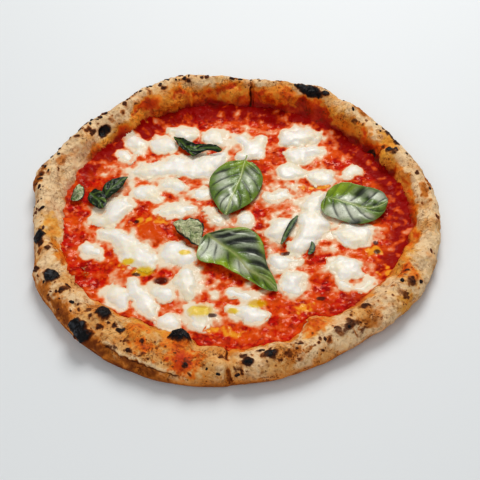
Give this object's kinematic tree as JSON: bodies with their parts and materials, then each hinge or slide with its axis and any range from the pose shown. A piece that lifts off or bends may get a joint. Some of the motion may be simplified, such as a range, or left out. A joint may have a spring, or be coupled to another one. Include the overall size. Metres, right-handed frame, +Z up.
{
  "type": "margherita pizza",
  "caption": "Whole round margherita pizza with a puffed, blistered crust, tomato sauce, melted mozzarella and basil leaves, resting flat on its base.",
  "frame": {"origin": "middle of the pizza's bounding box, on the flat underside", "axes": "+Z up through the toppings; +Y away from the picture's viewer, towards the tall far rim; +X to the viewer's right"},
  "size_m": [0.326, 0.313, 0.029],
  "materials": {
    "baked_crust": "matte baked bread, floury and leopard spotted with char",
    "tomato_sauce": "wet, oily crushed tomato",
    "mozzarella": "soft satin melted cheese",
    "fresh_basil": "waxy green leaf",
    "baked_basil": "wilted grey-green leaf with dark edges",
    "burnt_basil": "charred, crisp leaf"
  },
  "bodies": {
    "root": {"crust": "baked_crust", "tomato_sauce": "tomato_sauce", "mozzarella_01": "mozzarella", "mozzarella_02": "mozzarella", "mozzarella_03": "mozzarella", "mozzarella_04": "mozzarella", "mozzarella_05": "mozzarella", "mozzarella_06": "mozzarella", "mozzarella_07": "mozzarella", "mozzarella_08": "mozzarella", "mozzarella_09": "mozzarella", "mozzarella_10": "mozzarella", "mozzarella_11": "mozzarella", "mozzarella_12": "mozzarella", "mozzarella_13": "mozzarella", "mozzarella_14": "mozzarella", "mozzarella_15": "mozzarella", "mozzarella_16": "mozzarella", "mozzarella_17": "mozzarella", "mozzarella_18": "mozzarella", "mozzarella_19": "mozzarella", "mozzarella_20": "mozzarella", "mozzarella_21": "mozzarella", "mozzarella_22": "mozzarella", "mozzarella_23": "mozzarella", "mozzarella_24": "mozzarella", "mozzarella_25": "mozzarella", "mozzarella_26": "mozzarella", "mozzarella_27": "mozzarella", "mozzarella_28": "mozzarella", "mozzarella_29": "mozzarella", "mozzarella_30": "mozzarella", "mozzarella_31": "mozzarella", "mozzarella_32": "mozzarella", "mozzarella_33": "mozzarella", "mozzarella_34": "mozzarella", "mozzarella_35": "mozzarella", "mozzarella_36": "mozzarella", "mozzarella_37": "mozzarella", "mozzarella_38": "mozzarella", "basil_top": "fresh_basil", "basil_right": "fresh_basil", "basil_folded": "fresh_basil", "basil_curled": "baked_basil", "basil_bit_by_rim": "baked_basil", "basil_burnt_strip": "burnt_basil", "basil_burnt_lobe": "burnt_basil", "basil_burnt_blade": "burnt_basil", "basil_thin_strip": "burnt_basil", "basil_small_edge": "burnt_basil"}
  },
  "joints": []
}
